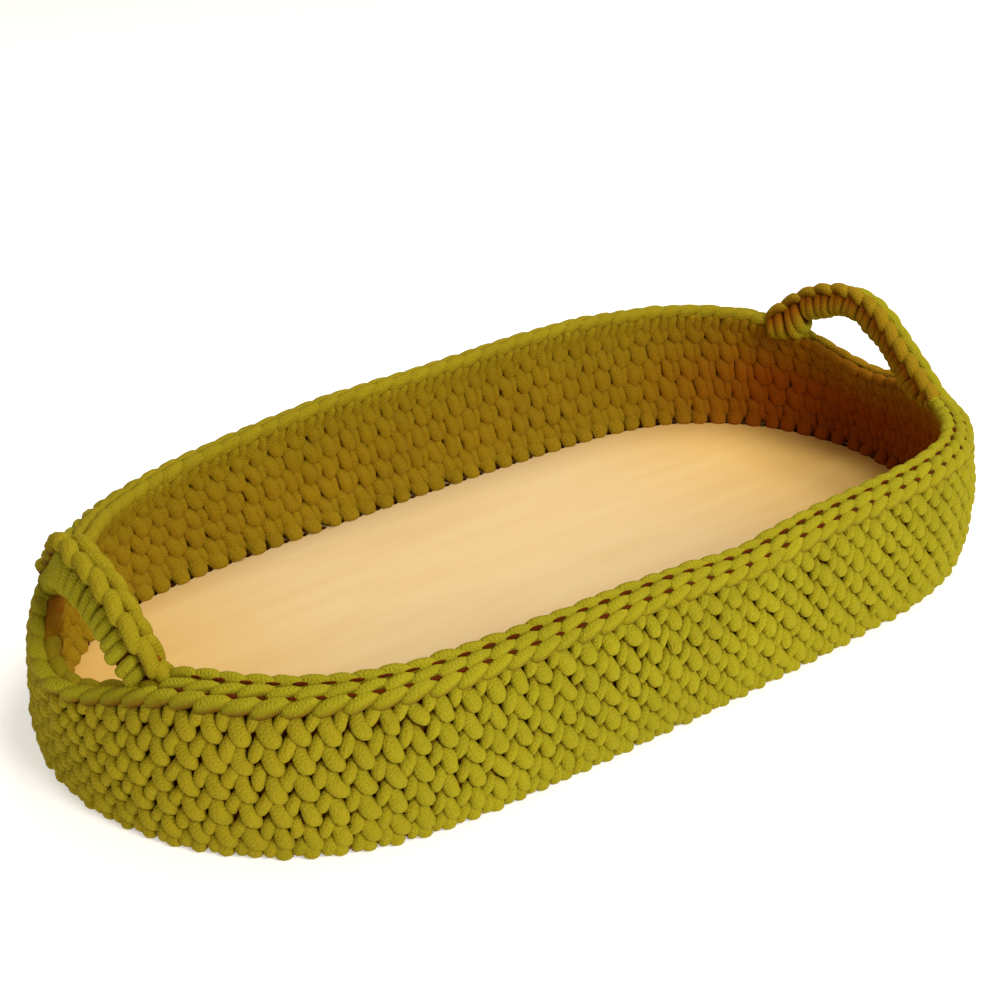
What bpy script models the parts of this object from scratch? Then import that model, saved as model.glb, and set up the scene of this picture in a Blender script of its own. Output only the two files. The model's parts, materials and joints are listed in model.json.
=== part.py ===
"""Crocheted changing basket: a plywood base, rounds of thick cotton cord and two arched handles.

Metres, +Z up. The origin is on the floor under the middle of the basket, and +X runs along its
length. Each round of crochet is one swept ring, and the rim above the last round is a braid of
two strands that rises over a handle at each end.
"""
import math

import bmesh
import bpy
from mathutils import Vector

# Base outline, measured round the first round: two round ends and sides that bow out slightly
BASE_LENGTH = 0.774
BASE_WIDTH = 0.385
SIDE_BOW = 0.008

# Crochet: the wall is two strands thick, and each stitch passes through one hole of the board
STITCHES = 112
STITCHES_PER_STATION = 2
WALL = 0.0185
GAP = 0.0003

# Plywood board and the first round, which is worked round its edge
SOLE = 0.004
BOARD_THICKNESS = 0.006
BOARD_INSET = 0.007
BOARD_EDGE_ROUND = 0.0008
HOLE_DIAMETER = 0.009
HOLE_FROM_EDGE = 0.010
HOLE_SIDES = 8
MAT_AREA_INSET = 0.04
LIP = 0.003
FOOT_ROUND = 0.003

# Rounds of the wall
ROUNDS = 5
ROUND_HEIGHT = 0.0168
ROUND_SWELL = 0.0022
RIM_POST_HEIGHT = 0.012

# How the soft wall stands: swollen halfway up, drawn in at the rim, lower at the ends
WALL_BULGE = 0.0035
BULGE_POWER = 3
LEAN_SIDE = 0.005
LEAN_END = 0.016
LEAN_POWER = 4
END_DROP = 0.007
OPENING_SPREAD = 0.008
OPENING_DIP = 0.004

# Handles: arches of posts with the rim's two strands on top, tipped outward at rest
HANDLE_SPAN = 0.192
HANDLE_RISE = 0.0465
OPENING_WIDTH = 0.112
OPENING_RISE = 0.028
HANDLE_LEVEL_END = 0.005
HANDLE_TILT = math.radians(19)
HANDLE_SWING = math.radians(35)
ARCH_FULLNESS = 2.5
ARCH_FLARE = 1.7
FOOT_POST_SHARE = 0.75
HANDLE_POSTS = 12
POST_GROOVE_SHARE = 0.86
POST_LEVEL_SHARES = (0.0, 0.22, 0.7, 1.0)
POST_WIDTH_SHARES = (0.55, 1.0, 1.0, 0.85)

# Cord strands are drawn as round tubes of this many sides
STRAND_SIDES = 8

# Overrun of a cutter past the face that it cuts
OVERRUN = 0.002

# Colours of the cord and of the birch board
CORD_COLOUR = (0.30, 0.26, 0.03)
WOOD_COLOUR = (0.79, 0.58, 0.30)
CORD_ROUGHNESS = 0.9
WOOD_ROUGHNESS = 0.55

END_RADIUS = BASE_WIDTH / 2 - SIDE_BOW
SPINE = BASE_LENGTH / 2 - END_RADIUS
STRAND = (WALL - GAP) / 2
BOARD_TOP = SOLE + BOARD_THICKNESS
BASE_TOP = BOARD_TOP + GAP + LIP
ROUNDS_TOP = BASE_TOP + GAP + ROUNDS * ROUND_HEIGHT
LOOPS_TOP = ROUNDS_TOP + STRAND
POSTS_TOP = ROUNDS_TOP + RIM_POST_HEIGHT
RIM_HEIGHT = POSTS_TOP + GAP + STRAND
HANDLE_END = HANDLE_SPAN / 2
OUTER_DEPTH = STRAND / 2
INNER_DEPTH = WALL - STRAND / 2


def outline(angle, inset):
    """Plan point of the base outline moved in by inset, where the wall's normal has this angle."""
    c, s = math.cos(angle), math.sin(angle)
    spine = math.hypot(SPINE * c, SIDE_BOW * s)
    reach = END_RADIUS - inset
    return SPINE**2 * c / spine + reach * c, SIDE_BOW**2 * s / spine + reach * s


def opening_share(angle):
    """1 under the middle of a handle, falling to 0 at its feet."""
    across = math.sin(angle) * END_RADIUS / (OPENING_WIDTH / 2)
    return max(0.0, 1 - across**2) ** 2


def wall_point(angle, depth, height):
    """A point of the crocheted wall: depth inward from its outer face, height up the wall."""
    rise = max(0.0, (height - BASE_TOP) / (RIM_HEIGHT - BASE_TOP))
    end_share = math.cos(angle) ** 2
    lean = LEAN_SIDE + (LEAN_END - LEAN_SIDE) * end_share - OPENING_SPREAD * opening_share(angle)
    swell = WALL_BULGE * (1 - abs(2 * rise - 1) ** BULGE_POWER)
    x, y = outline(angle, depth + lean * rise**LEAN_POWER - swell)
    drop = END_DROP * end_share + OPENING_DIP * opening_share(angle)
    return x, y, height - drop * rise


def equal_angles(count, start, end, shift_share=0.0):
    """Angles from start to end that cut the base outline into count equal lengths."""
    fine = 20 * count
    angles = [start + (end - start) * k / fine for k in range(fine + 1)]
    points = [outline(angle, 0) for angle in angles]
    run = [0.0]
    for here, there in zip(points, points[1:]):
        run.append(run[-1] + math.dist(here, there))
    result = []
    k = 0
    for n in range(count + 1):
        target = run[-1] * min(1.0, (n + shift_share) / count)
        while k < fine - 1 and run[k + 1] < target:
            k += 1
        part = (target - run[k]) / (run[k + 1] - run[k])
        result.append(angles[k] + part * (angles[k + 1] - angles[k]))
    return result


def cut_angle(depth, height, y):
    """Angle, on the +X +Y quarter, where this line of the wall reaches the plane at y."""
    low, high = 0.0, math.pi / 2
    for _ in range(50):
        middle = (low + high) / 2
        if wall_point(middle, depth, height)[1] < y:
            low = middle
        else:
            high = middle
    return low


def material(name, colour, roughness):
    mat = bpy.data.materials.new(name)
    mat.use_nodes = True
    shader = mat.node_tree.nodes["Principled BSDF"]
    shader.inputs["Base Color"].default_value = (*colour, 1.0)
    shader.inputs["Roughness"].default_value = roughness
    shader.inputs["Metallic"].default_value = 0.0
    return mat


def add_object(name, data, kind, parent=None):
    obj = bpy.data.objects.new(name, data)
    data.materials.append(kind)
    basket.objects.link(obj)
    obj.parent = parent
    return obj


def loft(name, rings, kind, closed, parent=None):
    """Skin a list of equal rings, round a closed path or capped at both ends."""
    bm = bmesh.new()
    loops = [[bm.verts.new(point) for point in ring] for ring in rings]
    pairs = list(zip(loops, loops[1:]))
    if closed:
        pairs.append((loops[-1], loops[0]))
    else:
        bm.faces.new(loops[0])
        bm.faces.new(loops[-1])
    for here, there in pairs:
        for k in range(len(here)):
            after = (k + 1) % len(here)
            bm.faces.new((here[k], here[after], there[after], there[k]))
    bmesh.ops.recalc_face_normals(bm, faces=bm.faces)
    mesh = bpy.data.meshes.new(name)
    bm.to_mesh(mesh)
    bm.free()
    return add_object(name, mesh, kind, parent)


def full_round(name, section):
    """Sweep a section of (depth, height) points all the way round the basket."""
    rings = [[wall_point(angle, *point) for point in section] for angle in station_angles]
    return loft(name, rings, cord, closed=True)


def part_round(name, section, y, first):
    """Sweep a section both ways from opposite station first, to the planes at plus and minus y."""
    rings = []
    for k in range(first, first + len(station_angles) + 1):
        angle = station_angles[k % len(station_angles)]
        rings.append([Vector(wall_point(angle, *point)) for point in section])
    middle = len(rings) // 2
    at_end = abs(rings[middle][0].y) < y
    low = high = middle
    while all((abs(point.y) < y) == at_end for point in rings[low - 1]):
        low -= 1
    while all((abs(point.y) < y) == at_end for point in rings[high + 1]):
        high += 1
    cuts = []
    for inner, outer in ((low, low - 1), (high, high + 1)):
        cut = []
        for here, there in zip(rings[inner], rings[outer]):
            part = (math.copysign(y, there.y) - here.y) / (there.y - here.y)
            cut.append(here.lerp(there, part))
        cuts.append(cut)
    return loft(name, [cuts[0]] + rings[low : high + 1] + [cuts[1]], cord, closed=False)


def round_section(bottom, top):
    """Section of one round of stitches: flat where it meets its neighbours, swollen between."""
    middle = (bottom + top) / 2
    return [
        (ROUND_SWELL, bottom),
        (0, middle),
        (ROUND_SWELL, top),
        (WALL - ROUND_SWELL, top),
        (WALL, middle),
        (WALL - ROUND_SWELL, bottom),
    ]


def strand_section(depth, height):
    """Round section of one strand, centred at this depth and height."""
    turns = [2 * math.pi * (k + 0.5) / STRAND_SIDES for k in range(STRAND_SIDES)]
    radius = STRAND / 2
    return [(depth - radius * math.cos(turn), height + radius * math.sin(turn)) for turn in turns]


def base_board():
    """Plywood board with a hole for each stitch. Its open middle, for the mat, is one face."""
    bm = bmesh.new()
    rim = [bm.verts.new((*outline(angle, BOARD_INSET), SOLE)) for angle in station_angles]
    face = bm.faces.new(rim)
    raised = bmesh.ops.extrude_face_region(bm, geom=[face])["geom"]
    top = [item for item in raised if isinstance(item, bmesh.types.BMVert)]
    bmesh.ops.translate(bm, verts=top, vec=(0, 0, BOARD_THICKNESS))
    upper = [item for item in raised if isinstance(item, bmesh.types.BMFace)]
    bmesh.ops.inset_region(bm, faces=upper, thickness=MAT_AREA_INSET)
    bmesh.ops.recalc_face_normals(bm, faces=bm.faces)
    mesh = bpy.data.meshes.new("base_board")
    bm.to_mesh(mesh)
    bm.free()
    board = add_object("base_board", mesh, wood)

    rounding = board.modifiers.new("edge", "BEVEL")
    rounding.width = BOARD_EDGE_ROUND
    rounding.segments = 1
    rounding.angle_limit = math.radians(60)

    bm = bmesh.new()
    depth = BOARD_THICKNESS + 2 * OVERRUN
    for angle in equal_angles(STITCHES, 0, 2 * math.pi, shift_share=0.5)[:-1]:
        drill = bmesh.ops.create_cone(
            bm,
            cap_ends=True,
            segments=HOLE_SIDES,
            radius1=HOLE_DIAMETER / 2,
            radius2=HOLE_DIAMETER / 2,
            depth=depth,
        )
        place = Vector((*outline(angle, BOARD_INSET + HOLE_FROM_EDGE), SOLE + BOARD_THICKNESS / 2))
        bmesh.ops.translate(bm, verts=drill["verts"], vec=place)
    mesh = bpy.data.meshes.new("stitch_hole_drills")
    bm.to_mesh(mesh)
    bm.free()
    drills = bpy.data.objects.new("stitch_hole_drills", mesh)
    cutters.objects.link(drills)
    drills.hide_render = True
    drills.display_type = "WIRE"

    cut = board.modifiers.new("stitch_holes", "BOOLEAN")
    cut.operation = "DIFFERENCE"
    cut.object = drills
    return board


def foundation_round():
    """First round: it grips the board's edge, and the basket stands on its flat underside."""
    under = SOLE - GAP
    over = BOARD_TOP + GAP
    edge = BOARD_INSET - GAP
    section = [
        (FOOT_ROUND, 0),
        (0, SOLE),
        (0, BOARD_TOP),
        (ROUND_SWELL, BASE_TOP),
        (WALL - ROUND_SWELL, BASE_TOP),
        (WALL, over),
        (edge, over),
        (edge, under),
        (WALL, under),
        (WALL - FOOT_ROUND, 0),
    ]
    return full_round("foundation_round", section)


def wall():
    foundation_round()
    for n in range(ROUNDS):
        bottom = BASE_TOP + GAP + n * ROUND_HEIGHT
        full_round(f"wall_round_{n + 1}", round_section(bottom, bottom + ROUND_HEIGHT - GAP))
    loop_height = ROUNDS_TOP + STRAND / 2
    full_round("front_loop_round", strand_section(OUTER_DEPTH, loop_height))
    half = len(station_angles) // 2
    for name, first in (("right", -half), ("left", 0)):
        section = strand_section(INNER_DEPTH, loop_height)
        part_round(f"back_loop_{name}", section, HANDLE_END, first)


def rim():
    """Last round on the two long sides: posts in the back loops, and the braid on top."""
    inner = WALL - STRAND
    posts = [
        (inner, ROUNDS_TOP),
        (inner, POSTS_TOP),
        (WALL - ROUND_SWELL, POSTS_TOP),
        (WALL, (ROUNDS_TOP + POSTS_TOP) / 2),
        (WALL - ROUND_SWELL, ROUNDS_TOP),
    ]
    strand_height = RIM_HEIGHT - STRAND / 2
    y = HANDLE_END + GAP
    quarter = len(station_angles) // 4
    for name, first in (("back", -quarter), ("front", quarter)):
        part_round(f"rim_{name}_posts", posts, y, first)
        part_round(f"rim_{name}_outer_strand", strand_section(OUTER_DEPTH, strand_height), y, first)
        part_round(f"rim_{name}_inner_strand", strand_section(INNER_DEPTH, strand_height), y, first)


def arch(share):
    """Height of a handle's arch, from 1 at its middle to 0 at its feet."""
    return max(0.0, 1 - abs(share) ** ARCH_FULLNESS) ** ARCH_FLARE


def strand_line(share):
    """Centre of the handle's strands in its own upright frame, level where it meets the rim."""
    reach = HANDLE_END - HANDLE_LEVEL_END
    y = HANDLE_END * share
    return Vector((0, y, HANDLE_RISE * arch(min(1.0, abs(y) / reach))))


def swing_width(z):
    """Half width that clears the wall under a foot while the handle swings, at height z."""
    if z >= 0:
        return WALL / 2
    if z < -foot_depth * math.cos(HANDLE_SWING):
        return math.sqrt(max(0.0, foot_depth**2 - z**2))
    return (foot_depth + z * math.cos(HANDLE_SWING)) / math.sin(HANDLE_SWING)


def post_ring(share, groove):
    """Section of the handle's posts, from the opening's edge up to just under the strands."""
    step = 0.5 / HANDLE_POSTS
    along = strand_line(min(1.0, share + step)) - strand_line(max(-1.0, share - step))
    normal = Vector((0, -along.z, along.y)).normalized()
    top = strand_line(share) - normal * (STRAND / 2 + GAP)
    half_opening = OPENING_WIDTH / 2
    bottom_z = -foot_depth + GAP
    if abs(share) <= FOOT_POST_SHARE:
        across = share / FOOT_POST_SHARE
        bottom = Vector((0, half_opening * across, bottom_z + OPENING_RISE * arch(across)))
    else:
        beyond = (abs(share) - FOOT_POST_SHARE) / (1 - FOOT_POST_SHARE)
        reach = half_opening + (HANDLE_END - half_opening) * beyond
        bottom = Vector((0, math.copysign(reach, share), bottom_z))
    right = []
    for level, width in zip(POST_LEVEL_SHARES, POST_WIDTH_SHARES):
        point = bottom.lerp(top, level)
        half = min(WALL / 2 * width * groove, swing_width(point.z))
        right.append(Vector((half, point.y, point.z)))
    left = [Vector((-point.x, point.y, point.z)) for point in reversed(right)]
    return right + left


def handle(name, side):
    """One handle on an empty whose Y axis is the line through its feet that it bends about."""
    axis = bpy.data.objects.new(f"handle_{name}_axis", None)
    basket.objects.link(axis)
    axis.location = (side * hinge_x, 0, hinge_z)
    axis.rotation_euler = (0, side * HANDLE_TILT, 0)

    level = 1 - HANDLE_LEVEL_END / HANDLE_END
    line = [level * (k / HANDLE_POSTS - 1) for k in range(2 * HANDLE_POSTS + 1)]
    line = [-1.0] + line + [1.0]
    rings = [post_ring(share, POST_GROOVE_SHARE if k % 2 else 1.0) for k, share in enumerate(line)]
    loft(f"handle_{name}_posts", rings, cord, closed=False, parent=axis)

    for strand, offset in (("inner", -side), ("outer", side)):
        curve = bpy.data.curves.new(f"handle_{name}_{strand}_strand", "CURVE")
        curve.dimensions = "3D"
        curve.bevel_depth = STRAND / 2
        curve.bevel_resolution = 2
        curve.use_fill_caps = True
        spline = curve.splines.new("POLY")
        spline.points.add(len(line) - 1)
        for point, share in zip(spline.points, line):
            place = strand_line(share)
            point.co = (offset * (STRAND + GAP) / 2, place.y, place.z, 1)
        add_object(curve.name, curve, cord, axis)


for old in list(bpy.data.objects):
    bpy.data.objects.remove(old)
basket = bpy.data.collections.new("changing_basket")
cutters = bpy.data.collections.new("cutters")
bpy.context.scene.collection.children.link(basket)
bpy.context.scene.collection.children.link(cutters)
cord = material("cotton_cord", CORD_COLOUR, CORD_ROUGHNESS)
wood = material("plywood", WOOD_COLOUR, WOOD_ROUGHNESS)

station_angles = equal_angles(STITCHES // STITCHES_PER_STATION, 0, 2 * math.pi)[:-1]

# The handles bend about the line through their feet, at the height of the rim's strands
rim_angle = cut_angle(WALL / 2, RIM_HEIGHT - STRAND / 2, HANDLE_END)
hinge_x, _, hinge_z = wall_point(rim_angle, WALL / 2, RIM_HEIGHT - STRAND / 2)
foot_depth = hinge_z - wall_point(rim_angle, WALL / 2, LOOPS_TOP)[2] - GAP

base_board()
wall()
rim()
handle("right", 1)
handle("left", -1)
print("hinge at", round(hinge_x, 5), round(hinge_z, 5), "foot depth", round(foot_depth, 5))
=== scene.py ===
"""Looks of the crocheted changing basket: every stitch of its cord, the board, floor, light, camera.

Metres, in the CAD model's frame. A place on the wall is given as (stitch, height, out): the number
of stitches round from the middle of the right end, the height up the wall, and how far outward of
the CAD wall's outer face it lies.
"""
import json
import math

import bpy
import numpy as np
from mathutils import Matrix, Vector


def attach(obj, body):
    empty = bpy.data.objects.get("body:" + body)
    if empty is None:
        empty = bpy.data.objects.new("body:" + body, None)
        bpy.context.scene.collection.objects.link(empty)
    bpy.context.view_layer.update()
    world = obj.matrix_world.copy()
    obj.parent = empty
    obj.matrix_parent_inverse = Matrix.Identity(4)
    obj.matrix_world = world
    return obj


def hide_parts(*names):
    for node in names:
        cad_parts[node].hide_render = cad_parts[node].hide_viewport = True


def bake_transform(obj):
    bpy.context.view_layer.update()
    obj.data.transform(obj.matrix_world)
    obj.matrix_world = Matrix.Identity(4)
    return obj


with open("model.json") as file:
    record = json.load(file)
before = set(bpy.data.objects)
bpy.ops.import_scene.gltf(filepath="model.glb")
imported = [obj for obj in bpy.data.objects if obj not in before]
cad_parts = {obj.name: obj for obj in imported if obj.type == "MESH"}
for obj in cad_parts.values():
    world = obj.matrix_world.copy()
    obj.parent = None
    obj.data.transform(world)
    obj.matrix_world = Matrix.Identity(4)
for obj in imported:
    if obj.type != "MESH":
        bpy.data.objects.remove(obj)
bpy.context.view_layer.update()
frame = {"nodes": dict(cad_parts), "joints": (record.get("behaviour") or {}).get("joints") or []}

# Camera at the photograph's place
CAMERA_TARGET = (0.0186, 0.0692, 0.0480)
CAMERA_DISTANCE = 1.358
CAMERA_AZIMUTH = math.radians(-38.34)
CAMERA_ELEVATION = math.radians(27.88)
CAMERA_ROLL = math.radians(0.51)
CAMERA_LENS = 63.16
SENSOR = 36.0

# The CAD wall's own sizes, repeated from the part's source
BASE_LENGTH = 0.774
BASE_WIDTH = 0.385
SIDE_BOW = 0.008
STITCHES = 112
WALL = 0.0185
BASE_TOP = 0.0133
RIM_HEIGHT = 0.1190
WALL_BULGE = 0.0035
BULGE_POWER = 3
LEAN_SIDE = 0.005
LEAN_END = 0.016
LEAN_POWER = 4
END_DROP = 0.007
OPENING_WIDTH = 0.112
OPENING_SPREAD = 0.008
OPENING_DIP = 0.004
HANDLE_END = 0.096
HANDLE_TILT = math.radians(19)

# The handles' hinges, mirror images of each other, from the frame
hinges = {joint["child"]: joint["pos_m"] for joint in frame["joints"]}
HINGE_X, _, HINGE_Z = hinges["right_handle"]

END_RADIUS = BASE_WIDTH / 2 - SIDE_BOW
SPINE = BASE_LENGTH / 2 - END_RADIUS

# The wall's shape goes on above the rim up to this share of its height
RISE_LIMIT = 1.2
# Slumps grow inward with this power of the height
SLUMP_POWER = 2.5
# A step that is small beside the cord, by which directions on the wall are found
STEP = 0.001

# Strands of the rim and of the wall's top: (height, out)
RIM_INNER = (0.1150, -0.0126)
RIM_OUTER = (0.1136, -0.0054)
FRONT_LOOPS = (0.1086, -0.0015)
RIGHT_BACK_LOOPS = (0.1080, -0.0125)
LEFT_BACK_LOOPS = (0.1088, -0.0090)

# Handles at rest, from the front foot to the back one, in metres from the hinge in the handle's own
# upright frame: outward, along Y and up for the braid, then the same for the lower edge
RIGHT_HANDLE = (
    (-0.009, -0.1, -0.007, -0.009, -0.098, -0.014),
    (-0.008, -0.09, -0.001, -0.007, -0.084, -0.012),
    (-0.006, -0.078, 0.005, -0.003, -0.066, -0.01),
    (-0.004, -0.062, 0.014, 0.0, -0.052, -0.004),
    (-0.002, -0.046, 0.022, 0.002, -0.041, 0.003),
    (0.0, -0.03, 0.031, 0.003, -0.028, 0.012),
    (0.001, -0.013, 0.04, 0.003, -0.012, 0.02),
    (0.002, 0.001, 0.045, 0.003, 0.002, 0.026),
    (0.003, 0.017, 0.0475, 0.003, 0.018, 0.03),
    (0.003, 0.034, 0.0465, 0.003, 0.032, 0.028),
    (0.003, 0.055, 0.04, 0.003, 0.046, 0.0205),
    (0.003, 0.071, 0.03, 0.003, 0.06, 0.014),
    (0.002, 0.081, 0.021, 0.002, 0.064, -0.003),
    (0.0, 0.096, 0.003, 0.0, 0.092, -0.01),
)
LEFT_HANDLE = (
    (0.007, -0.077, -0.011, 0.012, -0.074, -0.017),
    (0.007, -0.07, 0.0, 0.018, -0.067, -0.008),
    (0.007, -0.064, 0.011, 0.022, -0.057, 0.001),
    (0.006, -0.057, 0.025, 0.022, -0.045, 0.011),
    (0.004, -0.044, 0.032, 0.0185, -0.034, 0.018),
    (0.001, -0.026, 0.04, 0.0165, -0.017, 0.0215),
    (0.0, -0.01, 0.0455, 0.015, -0.002, 0.025),
    (0.0, 0.004, 0.048, 0.0145, 0.01, 0.026),
    (-0.002, 0.019, 0.0485, 0.014, 0.022, 0.023),
    (-0.004, 0.036, 0.041, 0.013, 0.036, 0.0165),
    (-0.004, 0.05, 0.0305, 0.013, 0.048, 0.009),
    (-0.001, 0.064, 0.017, 0.014, 0.058, -0.001),
    (0.003, 0.079, 0.003, 0.012, 0.072, -0.008),
    (0.004, 0.09, -0.006, 0.006, 0.086, -0.012),
)

# Painted shade: how much darker and redder the cord is coloured where it lies in shade, from 0 to 1
HANDLE_GLOOM = 0.80
INNER_LANE_GLOOM = 0.40
LOOPS_GLOOM = 0.7
FRONT_LOOPS_GLOOM = 0.5
BACK_RIM_GLOOM = 0.15
HOLLOW_GLOOM = 0.5
LEFT_GLOOM = 0.14
# How soon the painted shade sets in towards the left end
LEFT_GLOOM_GAIN = 1.4
# Painted shade on the wall's inner face, by degrees from the right end and by height
END_GLOOM_AT = (0, 35, 60, 80, 110, 140, 160, 180)
END_GLOOM = (0.95, 0.90, 0.58, 0.38, 0.34, 0.40, 0.66, 0.80)
HEIGHT_GLOOM_AT = (0.060, 0.118)
HEIGHT_GLOOM = (1.0, 0.55)

# Handle: the braid's two lanes lie this far from its middle
BRAID_HALF = 0.0054
BRAID_RADIUS = 0.0057
BRAID_FLATNESS = 0.9
# A post's course round the handle: (share of the way from braid to lower edge, metres outward)
POST_SECTION = (
    (0.06, 0.0050),
    (0.40, 0.0062),
    (0.80, 0.0054),
    (0.93, 0.0),
    (0.80, -0.0054),
    (0.40, -0.0062),
    (0.06, -0.0050),
)
# The two posts of each stitch, as shares of it
POST_PLACES = (0.29, 0.71)
POST_MIDDLE = 0.6
HANDLE_CORE_HALF = 0.0042
# The core's edges, as shares of the way from the braid to the lower edge, and its ends in stitches
HANDLE_CORE_TOP = 0.05
HANDLE_CORE_BOTTOM = 0.88
HANDLE_CORE_END = 0.3
HANDLE_CORE_STEPS = 60

# How the soft wall has settled: (stitch, spread in stitches, rim further in, rim lower)
SLUMPS = (
    (0.5, 4.0, 0.0, 0.0150),
    (1.5, 3.7, 0.004, 0.004),
    (8.8, 5.1, -0.007, -0.001),
    (19.5, 4.5, 0.0, -0.0045),
    (36.8, 3.8, 0.0, 0.0058),
    (42.0, 4.0, 0.0, 0.0140),
    (47.7, 4.8, 0.016, 0.006),
    (54.8, 2.6, -0.0060, 0.0),
    (56, 2.75, -0.006, 0.015),
    (56, 4.4, 0.004, 0.001),
    (58.7, 2.2, 0.0, 0.0095),
    (63.7, 4.8, 0.002, -0.002),
    (84, 20, -0.002, -0.0018),
    (85.2, 2.8, -0.002, 0.0055),
    (105.5, 4.5, 0.011, 0.002),
)
# Where the wall bulges less: (stitch, spread in stitches, metres at half its height)
WAIST = (53.0, 4.0, 0.0045)

# Stitches of the wall
ROWS = 5
# Outside: heights of the V stitches' tips, and each row's shift in stitches
FOOT_TIP = -0.0075
FIRST_TIP = 0.0090
ROW_RISE = 0.0188
ROW_DRIFT = 0.07
# Inside: heights of the ovals' middles, each row's shift, and how much less painted shade their depth
# gives them
FIRST_INNER_ROW = 0.0215
INNER_ROW_RISE = 0.0183
INNER_DRIFT = 0.10
INNER_LIFT = 0.0010
# Chance: shifts of a grain's points in stitches, less across it, and spreads of its size
LOOSENESS = 0.035
WALL_SLACK = 0.5
STRAND_SLACK = 0.4
RADIUS_SPREAD = 0.05
STRAND_SPREAD = 0.04
HOLLOW_SPREAD = 0.12
POST_SPREAD = 0.06
POST_SHIFT = 0.02
# Grains at the basket's two ends are thicker by this share
END_PLUMP = 0.10
# Rounds of cord under the board's edge, metres out
UNDER_ROWS = (-0.0095, -0.0140, -0.0185)

# Grains of cord: points along, points round, and the radius at their closed ends
ALONG = 11
AROUND = 10
END_RADIUS_OF_GRAIN = 0.0006
# Half width and half thickness of each kind of grain
FAT_LEG = (0.0058, 0.0047)
SLIM_LEG = (0.0044, 0.0042)
FAT_OVAL = (0.0062, 0.0042)
SLIM_OVAL = (0.0045, 0.0040)
FAT_FOOT = (0.0056, 0.0046)
SLIM_FOOT = (0.0046, 0.0042)
UNDER_CORD = (0.0040, 0.0040)
DIVING_CORD = (0.0072, 0.0042)
FAT_RIM_POST = (0.0050, 0.0044)
SLIM_RIM_POST = (0.0046, 0.0044)
HANDLE_POST = (0.0045, 0.0042)

# Radii of the strands
RIM_OUTER_RADIUS = 0.0048
RIM_INNER_RADIUS = 0.0054
BACK_RIM_INNER_RADIUS = 0.0052
FRONT_LOOPS_RADIUS = 0.0050
FRONT_LOOPS_SWELL = 0.0006
RIGHT_BACK_LOOPS_RADIUS = 0.0047
LEFT_BACK_LOOPS_RADIUS = 0.0060
# Depth that sets the strands' painted shade, and the depth of the places where no light comes, painted
# in full shade
STRAND_LEVEL = -0.0022
DEEPEST = -0.012
# The rim's strands and posts run on past the ends of the long sides
STRANDS_PAST_SIDE = 0.022
POSTS_PAST_SIDE = 0.030
RIM_POST_HEIGHT = 0.0985

# The two posts of a stitch under the rim, inside: (stitches, metres up, metres into the basket)
FAT_RIM_POST_PATH = (
    (-0.24, 0.0160, -0.0034),
    (-0.14, 0.0100, -0.0026),
    (0.00, 0.0020, -0.0036),
    (0.10, -0.0045, -0.0070),
)
SLIM_RIM_POST_PATH = (
    (0.36, 0.0160, -0.0036),
    (0.38, 0.0100, -0.0030),
    (0.38, 0.0015, -0.0040),
    (0.32, -0.0050, -0.0074),
)

# Painted shade: dark tubes in the hollows between the rim's strands: (height, out)
UPPER_HOLLOWS = (0.1174, -0.0077)
LOWER_HOLLOWS = (0.1132, -0.0007)
# Their shifts, half length and radius, in stitches and metres
UPPER_HOLLOW_SHIFT = 0.5
LOWER_HOLLOW_SHIFT = 0.1
HOLLOW_HALF = 0.27
HOLLOW_RADIUS = 0.0012

# One grain of each strand: (stitches along, metres towards the braid's middle, metres up)
RIM_GRAIN = (
    (-0.76, -0.0016, -0.0034),
    (-0.42, -0.0012, -0.0007),
    (0.02, -0.0001, 0.0005),
    (0.42, 0.0012, 0.0004),
    (0.74, 0.0026, -0.0010),
)
LOOP_GRAIN = (
    (-0.70, 0.0002, -0.0034),
    (-0.40, -0.0010, -0.0020),
    (0.02, -0.0010, 0.0002),
    (0.44, 0.0002, 0.0020),
    (0.78, 0.0028, 0.0030),
)
BRAID_GRAIN = (
    (-0.74, -0.0020, -0.0044),
    (-0.40, -0.0018, -0.0006),
    (0.02, -0.0002, 0.0008),
    (0.40, 0.0016, 0.0002),
    (0.70, 0.0032, -0.0026),
)

# The core inside the wall, painted in full shade
CORE_OUTER = -0.0068
CORE_INNER = -0.0117
CORE_BOTTOM = 0.004
CORE_TOP = 0.094
CORE_TOP_AT_RIM = 0.110
CORE_LEVELS = 9
CORE_STEP = 0.010

# Colours
CORD_BRIGHT = (0.325, 0.280, 0.0100)
# Painted shade: the cord's colour where it lies deepest
CORD_PAINTED_SHADE = (0.105, 0.022, 0.001)
# Painted shade: the tint that colours places in shade darker and redder
PAINTED_SHADE_TINT = (0.82, 0.120, 0.02)
# Painted shade and painted reflection: the board's tint towards its ends
BOARD_SHADE_AND_BOUNCE = (1.0, 0.83, 0.40)
BOARD_LIGHT = (0.80, 0.61, 0.32)
BOARD_DARK = (0.745, 0.525, 0.25)
WHITE = (1.0, 1.0, 1.0)
WARM_WHITE = (1.0, 0.90, 0.78)
PAPER = (0.93, 0.93, 0.92)
# Levels at which cord has no painted shade and full painted shade
BRIGHT_LEVEL = -0.0015
FULL_SHADE_LEVEL = -0.0080
# How strongly the cord's lightness varies: by its fibres, in wide patches, and from grain to grain
FIBRE_CONTRAST = 0.4
PATCH_CONTRAST = 0.25
GRAIN_CONTRAST = 0.05
# The cord's knit: ribs per turn, radians per metre along, and the fibres' part in the relief
KNIT_RIBS = 5
KNIT_RUN = 2600
FUZZ = 8
KNIT_DEPTH = 0.0005
# Scales of the noise that stands for the cord's fibres and its wide patches
FIBRE_SCALE = 700
PATCH_SCALE = 14
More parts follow.
